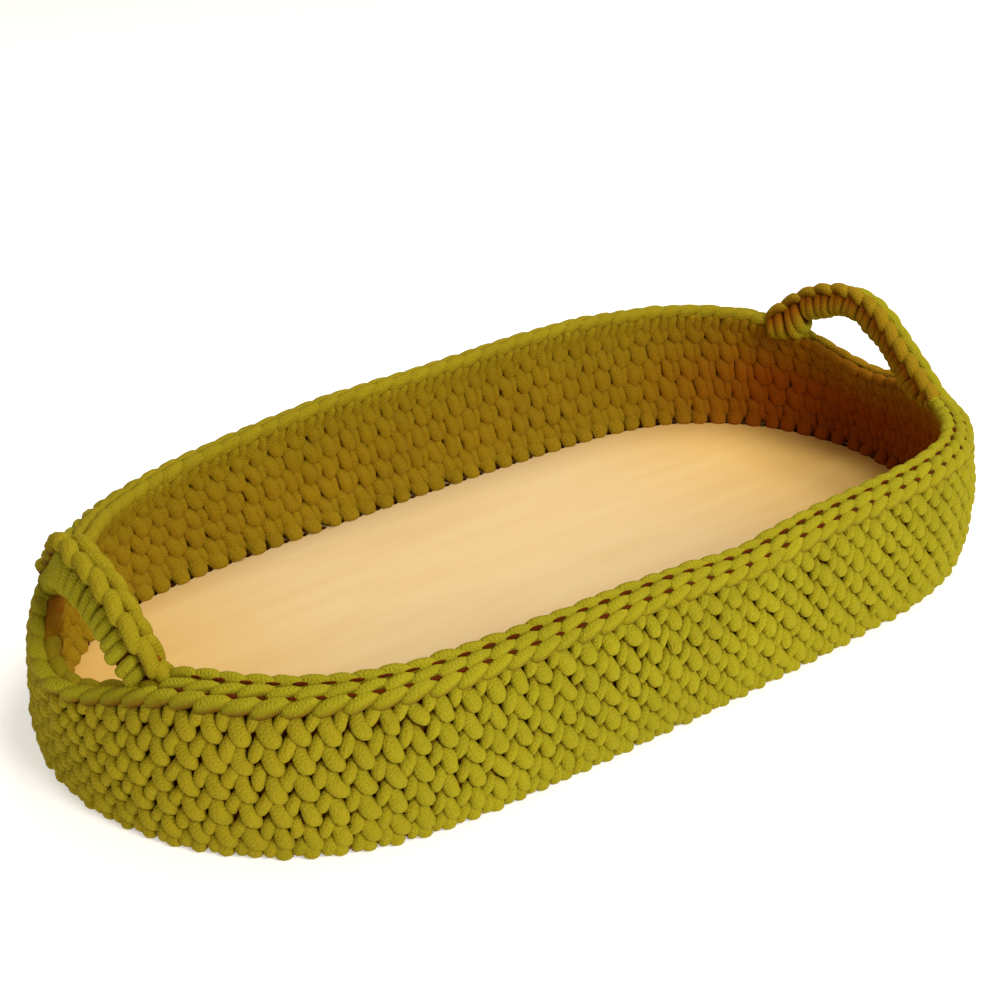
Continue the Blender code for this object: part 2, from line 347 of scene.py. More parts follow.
# The board's grain runs along X: broad streaks, and fibres that count less
BOARD_STRETCH = (1.0, 9.0, 1.0)
STREAK_SCALE = 5
BOARD_FIBRE_SCALE = 60
BOARD_FIBRE_SHARE = 0.3
BOARD_RELIEF = 0.0003
# The board's painted shade and painted reflection of the cord's colour grow between these distances
# from its middle
WARM_FROM = 0.10
WARM_TO = 0.38

WORLD_LIGHT = 0.42
FLOOR_HALF = 3.0
# Lamps: (name, place, aim, size, power, colour)
LAMPS = (
    ("key", (0.05, -2.5, 1.7), (0, 0, 0.05), 1.2, 60, (1.0, 0.98, 0.94)),
    ("top", (0.7, 0.2, 1.9), (0.25, 0, 0), 1.2, 22, (1.0, 0.98, 0.95)),
)

rng = np.random.default_rng(7)


# Shape of the wall
def outline(angle, inset):
    """Plan point of the base outline moved in by inset, where the wall's normal has this angle."""
    c, s = np.cos(angle), np.sin(angle)
    spine = np.hypot(SPINE * c, SIDE_BOW * s)
    reach = END_RADIUS - inset
    return SPINE**2 * c / spine + reach * c, SIDE_BOW**2 * s / spine + reach * s


fine_angles = np.linspace(0, 2 * math.pi, 7201)
fine_x, fine_y = outline(fine_angles, 0.0)
fine_run = np.concatenate([[0], np.cumsum(np.hypot(np.diff(fine_x), np.diff(fine_y)))])
PITCH = fine_run[-1] / STITCHES


def stitch_angle(stitch):
    """Direction of the wall's normal at a stitch number."""
    turns = np.floor(stitch / STITCHES)
    run = (stitch - turns * STITCHES) * PITCH
    return np.interp(run, fine_run, fine_angles) + 2 * math.pi * turns


def slump(stitch, column):
    """How far the wall has settled at a stitch: column 0 inward, 1 downward."""
    total = 0.0
    for middle, spread, *amounts in SLUMPS:
        away = (stitch - middle + STITCHES / 2) % STITCHES - STITCHES / 2
        total = total + amounts[column] * np.exp(-((away / spread) ** 2))
    return total


def wall_point(stitch, height, out):
    """World points of the wall, with its bulge, lean, dips and slumps."""
    angle = stitch_angle(stitch)
    rise = np.clip((height - BASE_TOP) / (RIM_HEIGHT - BASE_TOP), 0, RISE_LIMIT)
    end_share = np.cos(angle) ** 2
    under_handle = np.clip(1 - (np.sin(angle) * END_RADIUS / (OPENING_WIDTH / 2)) ** 2, 0, 1) ** 2
    lean = LEAN_SIDE + (LEAN_END - LEAN_SIDE) * end_share - OPENING_SPREAD * under_handle
    lean = lean * rise**LEAN_POWER + slump(stitch, 0) * rise**SLUMP_POWER
    swell = WALL_BULGE - WAIST[2] * np.exp(-(((stitch - WAIST[0]) / WAIST[1]) ** 2))
    swell = swell * (1 - np.abs(2 * np.minimum(rise, 1) - 1) ** BULGE_POWER)
    x, y = outline(angle, lean - swell - out)
    drop = END_DROP * end_share + OPENING_DIP * under_handle + slump(stitch, 1)
    return np.stack([x, y, height - drop * rise], axis=-1)


# Tubes of cord
def unit(vectors):
    """The vectors brought to length 1."""
    return vectors / np.maximum(np.linalg.norm(vectors, axis=-1, keepdims=True), 1e-12)


def smooth_path(points, count):
    """Points along a cubic through each path's control points: (n, k, 3) to (n, count, 3)."""
    points = np.asarray(points, float)
    n, k, _ = points.shape
    first = 2 * points[:, :1] - points[:, 1:2]
    last = 2 * points[:, -1:] - points[:, -2:-1]
    padded = np.concatenate([first, points, last], axis=1)
    at = np.linspace(0, k - 1, count)
    cell = np.minimum(at.astype(int), k - 2)
    t = (at - cell)[None, :, None]
    a, b, c, d = (padded[:, cell + j] for j in range(4))
    square = 2 * a - 5 * b + 4 * c - d
    cube = 3 * b - a - 3 * c + d
    return 0.5 * (2 * b + (c - a) * t + square * t**2 + cube * t**3)


def add_object(name, mesh):
    """An object of the mesh, in the scene."""
    obj = bpy.data.objects.new(name, mesh)
    bpy.context.scene.collection.objects.link(obj)
    return obj


def shade_painted_mesh(name, points, faces, material):
    """An object of cord painted in full shade throughout."""
    mesh = bpy.data.meshes.new(name)
    mesh.from_pydata(points.tolist(), [], faces)
    mesh.update()
    depth = mesh.attributes.new("depth", "FLOAT", "POINT")
    depth.data.foreach_set("value", np.full(len(points), DEEPEST, np.float32))
    mesh.materials.append(material)
    return add_object(name, mesh)


class Yarn:
    """Collects tubes of cord, then makes one mesh of them."""

    def __init__(self):
        self.points, self.quads, self.tris = [], [], []
        self.depth, self.shade, self.gloom, self.along = [], [], [], []
        self.count = 0

    def add(self, centre, outward, width, thickness, level, gloom=0.0):
        """Tubes closed at both ends, from (n, k, 3) centres and directions and (n, k) radii.

        level is how far out of the wall each centre lies, which sets how much painted shade its colour
        gets; the last argument is a further painted shade for places in shade, from 0 to 1.
        """
        n, k, _ = centre.shape
        width = np.maximum(width, END_RADIUS_OF_GRAIN)
        thickness = np.maximum(thickness, END_RADIUS_OF_GRAIN)
        tangent = unit(np.gradient(centre, axis=1))
        side = unit(np.cross(tangent, outward))
        normal = np.cross(side, tangent)
        turns = 2 * math.pi * np.arange(AROUND) / AROUND
        ring = (
            side[:, :, None] * (np.cos(turns)[None, None, :, None] * width[:, :, None, None])
            + normal[:, :, None] * (np.sin(turns)[None, None, :, None] * thickness[:, :, None, None])
        )
        skin = centre[:, :, None] + ring
        rise = np.sin(turns)[None, None, :] * thickness[:, :, None]
        rise = rise * np.sum(normal * outward, axis=-1)[:, :, None]
        level = level[:, :, None] + rise
        step = np.linalg.norm(np.diff(centre, axis=1), axis=-1)
        run = np.concatenate([np.zeros((n, 1)), np.cumsum(step, axis=1)], axis=1)
        uv = np.stack(np.broadcast_arrays(run[:, :, None], turns[None, None, :]), axis=-1)

        index = self.count + np.arange(n * k * AROUND).reshape(n, k, AROUND)
        here, there = index[:, :-1], index[:, 1:]
        quads = np.stack([here, np.roll(here, -1, 2), np.roll(there, -1, 2), there], axis=-1)
        self.quads.append(quads.reshape(-1, 4))
        self.points.append(skin.reshape(-1, 3))
        self.depth.append(level.reshape(-1))
        shade = rng.normal(0, 0.5, (n, 1, 1))
        gloom = np.broadcast_to(gloom, (n, k))
        self.shade.append(np.broadcast_to(shade, (n, k, AROUND)).reshape(-1))
        self.gloom.append(np.broadcast_to(gloom[:, :, None], (n, k, AROUND)).reshape(-1))
        self.along.append(uv.reshape(-1, 2))
        self.count += n * k * AROUND

        poles = self.count + np.arange(2 * n).reshape(n, 2)
        for end, ring_index in ((0, index[:, 0]), (1, index[:, -1])):
            pole = np.repeat(poles[:, end, None], AROUND, axis=1)
            following = np.roll(ring_index, -1, 1)
            edge = (following, ring_index) if end == 0 else (ring_index, following)
            self.tris.append(np.stack([*edge, pole], axis=-1).reshape(-1, 3))
        self.points.append(centre[:, [0, -1]].reshape(-1, 3))
        self.depth.append(level.mean(axis=2)[:, [0, -1]].reshape(-1))
        self.shade.append(np.broadcast_to(shade[:, :, 0], (n, 2)).reshape(-1))
        self.gloom.append(gloom[:, [0, -1]].reshape(-1))
        self.along.append(np.stack([run[:, [0, -1]], np.zeros((n, 2))], axis=-1).reshape(-1, 2))
        self.count += 2 * n

    def make(self, name, material):
        """One object of all the tubes, with its depth, tone per grain, painted shade and course as
        attributes.
        """
        points = np.concatenate(self.points).astype(np.float32)
        quads, tris = np.concatenate(self.quads), np.concatenate(self.tris)
        corners = np.concatenate([quads.reshape(-1), tris.reshape(-1)]).astype(np.int32)
        sizes = np.concatenate([np.full(len(quads), 4), np.full(len(tris), 3)]).astype(np.int32)
        mesh = bpy.data.meshes.new(name)
        mesh.vertices.add(len(points))
        mesh.vertices.foreach_set("co", points.reshape(-1))
        mesh.loops.add(len(corners))
        mesh.loops.foreach_set("vertex_index", corners)
        mesh.polygons.add(len(sizes))
        starts = np.concatenate([[0], np.cumsum(sizes)[:-1]]).astype(np.int32)
        mesh.polygons.foreach_set("loop_start", starts)
        mesh.update(calc_edges=True)
        mesh.validate()
        mesh.polygons.foreach_set("use_smooth", np.ones(len(mesh.polygons), bool))
        for label, values in (("depth", self.depth), ("shade", self.shade), ("gloom", self.gloom)):
            attribute = mesh.attributes.new(label, "FLOAT", "POINT")
            attribute.data.foreach_set("value", np.concatenate(values).astype(np.float32))
        along = mesh.attributes.new("cord", "FLOAT2", "POINT")
        along.data.foreach_set("vector", np.concatenate(self.along).astype(np.float32).reshape(-1))
        mesh.materials.append(material)
        return add_object(name, mesh)


def grain_radius(count, blunt):
    """Radius share along a grain of cord, from 0 at its ends to 1: the higher blunt, the fuller."""
    share = np.linspace(-1, 1, count)
    return np.clip(1 - np.abs(share) ** blunt, 0.0, 1) ** 0.5


def drop_radius(count):
    """As grain_radius for a grain that starts full and tapers at its far end."""
    share = np.linspace(0, 1, count)
    return np.clip((1 - share**3) ** 0.7 * (1 - (1 - share) ** 8) ** 0.5, 0, 1)


def leaf_radius(count, late):
    """As grain_radius for a leaf-like grain: the higher late, the further along it is fullest."""
    share = np.linspace(0, 1, count)
    return np.clip(np.sin(math.pi * share**late), 0, 1) ** 0.6


def grain_lines(stitches, height, path):
    """Courses of one grain at each stitch, each a little loose, from a path of three numbers."""
    count = len(stitches)
    control = np.tile(np.asarray(path, float)[None], (count, 1, 1))
    control[:, :, 0] += stitches[:, None]
    control[:, :, 1] += height
    wobble = rng.normal(0, 1, (count, len(path), 3)) * LOOSENESS
    control += wobble * np.array([1.0, PITCH, PITCH * WALL_SLACK])
    return smooth_path(control, ALONG)


def wall_grains(yarn, stitches, height, path, section, profile):
    """A grain at each stitch of the outer face, by a path of (stitches, metres up, metres out)."""
    line = grain_lines(stitches, height, path)
    spots = wall_point(line[..., 0], line[..., 1], line[..., 2])
    above = wall_point(line[..., 0], line[..., 1], line[..., 2] + STEP)
    shape = profile[None] * (1 + rng.normal(0, RADIUS_SPREAD, (len(stitches), 1)))
    along_x = np.cos(stitch_angle(stitches))[:, None]
    shape = shape * (1 + END_PLUMP * along_x**2)
    # Painted shade towards the left end of the outer face
    painted_shade_amount = LEFT_GLOOM * np.clip(-LEFT_GLOOM_GAIN * along_x, 0, 1)
    width, thickness = section
    yarn.add(spots, unit(above - spots), width * shape, thickness * shape, line[..., 2], painted_shade_amount)


# Materials
def link(tree, start, end):
    """Joins an output socket to an input socket."""
    tree.links.new(start, end)


def calculation(tree, operation, *operands):
    """Output of a math node whose operands are sockets or numbers."""
    node = tree.nodes.new("ShaderNodeMath")
    node.operation = operation
    for entry, operand in zip(node.inputs, operands):
        if isinstance(operand, (int, float)):
            entry.default_value = operand
        else:
            link(tree, operand, entry)
    return node.outputs[0]


def attribute(tree, label):
    """Node that reads one of the mesh's attributes."""
    node = tree.nodes.new("ShaderNodeAttribute")
    node.attribute_name = label
    return node


def noise(tree, vector, scale, detail, distortion=0.0):
    """Factor of a noise texture."""
    node = tree.nodes.new("ShaderNodeTexNoise")
    node.inputs["Scale"].default_value = scale
    node.inputs["Detail"].default_value = detail
    node.inputs["Distortion"].default_value = distortion
    link(tree, vector, node.inputs["Vector"])
    return node.outputs["Fac"]


def smooth_range(tree, value, low, high):
    """From 0 at low to 1 at high, smoothly."""
    node = tree.nodes.new("ShaderNodeMapRange")
    node.interpolation_type = "SMOOTHSTEP"
    node.inputs["From Min"].default_value = low
    node.inputs["From Max"].default_value = high
    link(tree, value, node.inputs["Value"])
    return node.outputs["Result"]


def mixed(tree, factor, first, second, blend="MIX"):
    """Colour between two, each of them a socket or three numbers."""
    node = tree.nodes.new("ShaderNodeMix")
    node.data_type = "RGBA"
    node.blend_type = blend
    link(tree, factor, node.inputs["Factor"])
    for label, colour in (("A", first), ("B", second)):
        if isinstance(colour, tuple):
            node.inputs[label].default_value = (*colour, 1)
        else:
            link(tree, colour, node.inputs[label])
    return node.outputs["Result"]


def relief(tree, shader, height, strength, distance):
    """Bump on the shader's surface."""
    bump = tree.nodes.new("ShaderNodeBump")
    bump.inputs["Strength"].default_value = strength
    bump.inputs["Distance"].default_value = distance
    link(tree, height, bump.inputs["Height"])
    link(tree, bump.outputs["Normal"], shader.inputs["Normal"])


def new_material(name, roughness, specular):
    """A material with its node tree and its shader."""
    mat = bpy.data.materials.new(name)
    mat.use_nodes = True
    shader = mat.node_tree.nodes["Principled BSDF"]
    shader.inputs["Roughness"].default_value = roughness
    shader.inputs["Specular IOR Level"].default_value = specular
    return mat, mat.node_tree, shader


def cord_lightness(tree, fibres, patches):
    """Factor about 1 by which the cord's colour varies."""
    total = None
    for value, centre, amount in (
        (fibres, 0.5, FIBRE_CONTRAST),
        (patches, 0.5, PATCH_CONTRAST),
        (attribute(tree, "shade").outputs["Fac"], 0.0, GRAIN_CONTRAST),
    ):
        shift = calculation(tree, "MULTIPLY_ADD", value, amount, -centre * amount)
        total = shift if total is None else calculation(tree, "ADD", total, shift)
    return calculation(tree, "ADD", total, 1.0)


def knit_height(tree, fibres):
    """Relief of the cord's own knit: two sets of slanting ribs round it, and its fibres."""
    parts = tree.nodes.new("ShaderNodeSeparateXYZ")
    link(tree, attribute(tree, "cord").outputs["Vector"], parts.inputs[0])
    waves = []
    for turn in (1.0, -1.0):
        slant = calculation(tree, "MULTIPLY", parts.outputs["Y"], KNIT_RIBS * turn)
        run = calculation(tree, "MULTIPLY_ADD", parts.outputs["X"], KNIT_RUN, slant)
        waves.append(calculation(tree, "SINE", run))
    ribs = calculation(tree, "MAXIMUM", *waves)
    return calculation(tree, "MULTIPLY_ADD", fibres, FUZZ, ribs)


def cord_material():
    """Brushed cotton cord: a fine knit, soft mottling, painted shade the deeper it lies, and more
    painted shade where it lies in shade.
    """
    mat, tree, shader = new_material("cotton_cord", 0.92, 0.06)
    shader.inputs["Sheen Weight"].default_value = 0.10
    shader.inputs["Sheen Roughness"].default_value = 0.6
    shader.inputs["Sheen Tint"].default_value = (*CORD_BRIGHT, 1)
    place = tree.nodes.new("ShaderNodeTexCoord").outputs["Object"]
    fibres = noise(tree, place, FIBRE_SCALE, 3)
    patches = noise(tree, place, PATCH_SCALE, 2)

    # Painted shade: darker and redder the deeper the cord lies, then darker and redder again where it
    # lies in shade
    lit = smooth_range(tree, attribute(tree, "depth").outputs["Fac"], FULL_SHADE_LEVEL, BRIGHT_LEVEL)
    colour = mixed(tree, lit, CORD_PAINTED_SHADE, CORD_BRIGHT)
    painted_shade_colour = mixed(tree, attribute(tree, "gloom").outputs["Fac"], colour, PAINTED_SHADE_TINT, "MULTIPLY")
    vary = tree.nodes.new("ShaderNodeVectorMath")
    vary.operation = "SCALE"
    link(tree, painted_shade_colour, vary.inputs[0])
    link(tree, cord_lightness(tree, fibres, patches), vary.inputs["Scale"])
    link(tree, vary.outputs[0], shader.inputs["Base Color"])
    relief(tree, shader, knit_height(tree, fibres), 0.55, KNIT_DEPTH)
    return mat


def plywood_material():
    """Sanded birch ply: faint long grain, a few darker streaks, clear matt lacquer, and painted shade
    with a painted reflection of the cord's colour towards the ends.
    """
    mat, tree, shader = new_material("birch_plywood", 0.5, 0.3)
    place = tree.nodes.new("ShaderNodeTexCoord").outputs["Object"]
    stretch = tree.nodes.new("ShaderNodeMapping")
    stretch.inputs["Scale"].default_value = BOARD_STRETCH
    link(tree, place, stretch.inputs["Vector"])
    broad = noise(tree, stretch.outputs["Vector"], STREAK_SCALE, 4, 0.6)
    fibres = noise(tree, stretch.outputs["Vector"], BOARD_FIBRE_SCALE, 6)
    ramp = tree.nodes.new("ShaderNodeValToRGB")
    dark, light = ramp.color_ramp.elements
    dark.position, light.position = 0.35, 0.95
    dark.color, light.color = (*BOARD_DARK, 1), (*BOARD_LIGHT, 1)
    grain = calculation(tree, "MULTIPLY_ADD", fibres, BOARD_FIBRE_SHARE, broad)
    link(tree, grain, ramp.inputs["Fac"])
    # Painted shade and painted reflection: darker and warmer towards the ends, as the walls shade it
    # and the cord's colour falls on it
    parts = tree.nodes.new("ShaderNodeSeparateXYZ")
    link(tree, place, parts.inputs[0])
    ends = smooth_range(tree, calculation(tree, "ABSOLUTE", parts.outputs["X"]), WARM_FROM, WARM_TO)
    warm = mixed(tree, ends, ramp.outputs["Color"], BOARD_SHADE_AND_BOUNCE, "MULTIPLY")
    link(tree, warm, shader.inputs["Base Color"])
    relief(tree, shader, fibres, 0.15, BOARD_RELIEF)
    return mat


cord = cord_material()
plywood = plywood_material()
frame["nodes"]["base_board"].material_slots[0].material = plywood


# The wall's stitches
everywhere = np.arange(STITCHES, dtype=float)


def outer_row(yarn, row):
    """Nested V stitches of one row: a fat leg that leans \\ and a slimmer leaf beside it."""
    tip = FIRST_TIP + ROW_RISE * row
    at = everywhere - ROW_DRIFT * row
    fat = [
        (-0.54, 0.0240, -0.0094),
        (-0.51, 0.0178, -0.0060),
        (-0.40, 0.0108, -0.0038),
        (-0.20, 0.0042, -0.0030),
        (0.06, -0.0008, -0.0052),
    ]
    slim = [
        (0.29, 0.0262, -0.0080),
        (0.23, 0.0202, -0.0046),
        (0.13, 0.0148, -0.0036),
        (0.05, 0.0100, -0.0042),
        (-0.01, 0.0056, -0.0074),
    ]
    wall_grains(yarn, at, tip, fat, FAT_LEG, leaf_radius(ALONG, 1.45))
    wall_grains(yarn, at, tip, slim, SLIM_LEG, leaf_radius(ALONG, 0.88))


def inner_gloom(stitch, height):
    """Painted shade on the wall's inner face: most at the right end, less towards the rim."""
    away = np.abs((np.degrees(stitch_angle(stitch)) + 180) % 360 - 180)
    return np.interp(away, END_GLOOM_AT, END_GLOOM) * np.interp(height, HEIGHT_GLOOM_AT, HEIGHT_GLOOM)


def inner_grains(yarn, stitches, height, path, section):
    """As wall_grains, with path's third number metres into the basket from the wall's inner face."""
    line = grain_lines(stitches, height, path)
    spots = wall_point(line[..., 0], line[..., 1], -WALL - line[..., 2])
    above = wall_point(line[..., 0], line[..., 1], -WALL - line[..., 2] - STEP)
    shape = grain_radius(ALONG, 3.0)[None] * (1 + rng.normal(0, RADIUS_SPREAD, (len(stitches), 1)))
    # Painted shade on the inner face
    painted_shade_amount = inner_gloom(line[..., 0], line[..., 1])
    width, thickness = section
    level = line[..., 2] + INNER_LIFT
    yarn.add(spots, unit(above - spots), width * shape, thickness * shape, level, painted_shade_amount)


def inner_row(yarn, row):
    """Seen from inside, each stitch is a fat oval that leans \\ beside a slimmer upright one."""
    middle = FIRST_INNER_ROW + INNER_ROW_RISE * row
    at = everywhere - INNER_DRIFT * row
    fat = [
        (0.36, 0.0130, -0.0072),
        (0.23, 0.0080, -0.0048),
        (0.04, 0.0008, -0.0038),
        (-0.13, -0.0066, -0.0042),
        (-0.22, -0.0122, -0.0066),
    ]
    slim = [
        (-0.13, 0.0112, -0.0074),
        (-0.27, 0.0065, -0.0052),
        (-0.38, 0.0000, -0.0044),
        (-0.43, -0.0065, -0.0052),
        (-0.43, -0.0110, -0.0076),
    ]
    inner_grains(yarn, at, middle, fat, FAT_OVAL)
    inner_grains(yarn, at, middle, slim, SLIM_OVAL)


def core_band(name, material):
    """The inside of the wall, a closed band between its faces, taller under the rim, painted in full
    shade.
    """
    count = 2 * STITCHES
    stitch = np.arange(count) * STITCHES / count
    across = np.abs(wall_point(stitch, np.full(count, RIM_HEIGHT), np.full(count, -WALL / 2))[:, 1])
    top = np.interp(across, (HANDLE_END - CORE_STEP, HANDLE_END), (CORE_TOP, CORE_TOP_AT_RIM))
    shares = np.linspace(0, 1, CORE_LEVELS)
    sides = [(share, CORE_OUTER) for share in shares] + [(share, CORE_INNER) for share in shares[::-1]]
    rings = []
    for share, out in sides:
        height = CORE_BOTTOM + (top - CORE_BOTTOM) * share
        rings.append(wall_point(stitch, height, np.full(count, out)))
    points = np.concatenate(rings)
    index = np.arange(len(points)).reshape(len(sides), count)
    following = np.roll(index, -1, axis=0)
    faces = np.stack([index, np.roll(index, -1, 1), np.roll(following, -1, 1), following], axis=-1)
    return shade_painted_mesh(name, points, faces.reshape(-1, 4).tolist(), material)


def settle_on_floor(obj, floor=0.0, soft=0.003):
    """Presses whatever would reach below the floor flat onto it."""
    count = len(obj.data.vertices)
    points = np.empty(count * 3, np.float32)
    obj.data.vertices.foreach_get("co", points)
    points = points.reshape(-1, 3)
    low = points[:, 2] < floor + soft
    points[low, 2] = floor + soft * np.exp((points[low, 2] - floor - soft) / soft)
    obj.data.vertices.foreach_set("co", points.reshape(-1))
    obj.data.update()


pieces = []
for row in range(ROWS):
    yarn = Yarn()
    outer_row(yarn, row)
    inner_row(yarn, row)
    piece = yarn.make(f"crochet_row_{row + 1}", cord)
    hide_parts(f"wall_round_{row + 1}")
    pieces.append(piece)

# First row: it comes up through the board's holes inside, and curls under the foot outside
yarn = Yarn()
fat = [
    (-0.54, 0.0240, -0.0094),
    (-0.51, 0.0178, -0.0062),
    (-0.44, 0.0125, -0.0048),
    (-0.32, 0.0076, -0.0064),
]
slim = [
    (0.28, 0.0245, -0.0082),
    (0.22, 0.0195, -0.0050),
    (0.14, 0.0145, -0.0046),
    (0.07, 0.0088, -0.0070),
]
below = everywhere + ROW_DRIFT
wall_grains(yarn, below, FOOT_TIP, fat, FAT_FOOT, grain_radius(ALONG, 4))
wall_grains(yarn, below, FOOT_TIP, slim, SLIM_FOOT, grain_radius(ALONG, 4))
for out in UNDER_ROWS:
    under = [(-0.5, 0.0050, out), (0.0, 0.0048, out), (0.5, 0.0050, out)]
    wall_grains(yarn, everywhere, 0.0, under, UNDER_CORD, grain_radius(ALONG, 8))
dive = [
    (0.22, 0.0225, -0.0085),
    (0.10, 0.0175, -0.0028),
    (-0.04, 0.0130, 0.0008),
    (-0.10, 0.0080, 0.0020),
]
inner_grains(yarn, everywhere, 0.0, dive, DIVING_CORD)
foot = yarn.make("crochet_foot_row", cord)
settle_on_floor(foot)
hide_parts("foundation_round")
pieces.append(foot)

# The wall's inside, painted in full shade
core = core_band("crochet_core", cord)
pieces.append(core)


# Rim, loops and handles
def strand_noise(control):
    """Small random shifts for the control points of a strand."""
    across = PITCH * STRAND_SLACK
    return rng.normal(0, 1, control.shape) * LOOSENESS * np.array([1.0, across, across])


def rim_strand(yarn, stitches, place, side, radius, gloom=0.0, grain=RIM_GRAIN, profile=None):
    """Grains along the wall, each over the start of the next; side 1 turns outward, -1 inward."""
    profile = drop_radius(ALONG) if profile is None else profile
    height, out = place
    count = len(stitches)
    path = [(along, up, side * across) for along, across, up in grain]
    control = np.array([path]).repeat(count, axis=0)
    control[:, :, 0] += stitches[:, None]
    control[:, :, 1] += height
    control[:, :, 2] += out
    control += strand_noise(control)
    line = smooth_path(control, ALONG)
    spots = wall_point(line[..., 0], line[..., 1], line[..., 2])
    up = wall_point(line[..., 0], line[..., 1] + STEP, line[..., 2])
    radius = np.broadcast_to(radius, (count,))[:, None]
    shape = radius * profile[None] * (1 + rng.normal(0, STRAND_SPREAD, (count, 1)))
    yarn.add(spots, unit(up - spots), shape, shape, np.full((count, ALONG), STRAND_LEVEL), gloom)


def hollow_shade_tubes(yarn, stitches, place):
    """Painted shade: dark tubes in the hollows between two strands of the rim, one to a stitch."""
    height, out = place
    at = stitches[:, None] + HOLLOW_HALF * np.linspace(-1, 1, ALONG)
    spots = wall_point(at, np.full(at.shape, height), np.full(at.shape, out))
    up = wall_point(at, np.full(at.shape, height + STEP), np.full(at.shape, out))
    size = 1 + rng.normal(0, HOLLOW_SPREAD, (len(stitches), 1))
    shape = HOLLOW_RADIUS * grain_radius(ALONG, 2.5) * size
    yarn.add(spots, unit(up - spots), shape, shape, np.full(at.shape, DEEPEST), HOLLOW_GLOOM)


def side_stitches(near, beyond):
    """Stitch numbers along one long side, where it lies further from the middle than beyond."""
    spots = wall_point(everywhere, np.full(STITCHES, RIM_HEIGHT), np.full(STITCHES, -WALL / 2))
    this_side = np.sign(spots[:, 1]) == (-1 if near else 1)
    return everywhere[this_side & (np.abs(spots[:, 1]) > beyond)]


for name, near in (("back", False), ("front", True)):
    yarn = Yarn()
    where = side_stitches(near, HANDLE_END - STRANDS_PAST_SIDE)
    if near:
        rim_strand(yarn, where, RIM_OUTER, -1, RIM_OUTER_RADIUS)
        rim_strand(yarn, where, RIM_INNER, 1, RIM_INNER_RADIUS)
        # Painted shade in the hollows between the two strands
        hollow_shade_tubes(yarn, where + UPPER_HOLLOW_SHIFT, UPPER_HOLLOWS)
        hollow_shade_tubes(yarn, where + LOWER_HOLLOW_SHIFT, LOWER_HOLLOWS)
    else:
        smooth = [(1.25 * along, across, 0.4 * up) for along, across, up in RIM_GRAIN]
        slanted = [(-along, across, 0.8 * up) for along, across, up in LOOP_GRAIN]
        leaf = leaf_radius(ALONG, 0.8)
        # Painted shade on the back rim's strands
        rim_strand(yarn, where, RIM_OUTER, -1, RIM_OUTER_RADIUS, BACK_RIM_GLOOM, smooth)
        rim_strand(yarn, where, RIM_INNER, 1, BACK_RIM_INNER_RADIUS, BACK_RIM_GLOOM, slanted, leaf)
    where = side_stitches(near, HANDLE_END - POSTS_PAST_SIDE)
    inner_grains(yarn, where, RIM_POST_HEIGHT, FAT_RIM_POST_PATH, FAT_RIM_POST)
    inner_grains(yarn, where, RIM_POST_HEIGHT, SLIM_RIM_POST_PATH, SLIM_RIM_POST)
    piece = yarn.make(f"rim_{name}", cord)
    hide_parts(f"rim_{name}_posts", f"rim_{name}_outer_strand", f"rim_{name}_inner_strand")
    pieces.append(piece)

yarn = Yarn()
left_end = np.clip(-np.cos(stitch_angle(everywhere)), 0, 1) ** 2
# Painted shade on the front loops under the right handle
from_right_end = np.abs((everywhere - 0.5 + STITCHES / 2) % STITCHES - STITCHES / 2)
rim_strand(
    yarn,
    everywhere - 0.50,
    FRONT_LOOPS,
    -1,
    FRONT_LOOPS_RADIUS + FRONT_LOOPS_SWELL * left_end,
    gloom=np.interp(from_right_end, (3.0, 4.5), (FRONT_LOOPS_GLOOM, 0.0))[:, None],
    grain=LOOP_GRAIN,
    profile=leaf_radius(ALONG, 0.8),
)
piece = yarn.make("front_loops", cord)
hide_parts("front_loop_round")
pieces.append(piece)

# Back loops at both ends, with painted shade, heavier under the right handle and at the left end's
# first stitches
for name, middle, place, radius, gloom in (
    ("right", 0.0, RIGHT_BACK_LOOPS, RIGHT_BACK_LOOPS_RADIUS, LOOPS_GLOOM),
    ("left", STITCHES / 2, LEFT_BACK_LOOPS, LEFT_BACK_LOOPS_RADIUS, None),
):
    yarn = Yarn()
    where = middle + 0.75 + np.arange(-6, 6)
    if gloom is None:
        gloom = np.interp(where, (53.5, 55.0), (LOOPS_GLOOM, LEFT_GLOOM))[:, None]
    rim_strand(yarn, where, place, 1, radius, gloom)
    piece = yarn.make(f"back_loops_{name}", cord)
    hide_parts(f"back_loop_{name}")
    pieces.append(piece)

for piece in pieces:
    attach(piece, "basket")


def handle_world(side, x, y, z):
    """From the handle's upright frame to the world; x outward."""
    c, s = math.cos(HANDLE_TILT), math.sin(HANDLE_TILT)
    return np.stack([side * (HINGE_X + x * c + z * s), y, HINGE_Z - x * s + z * c], axis=-1)


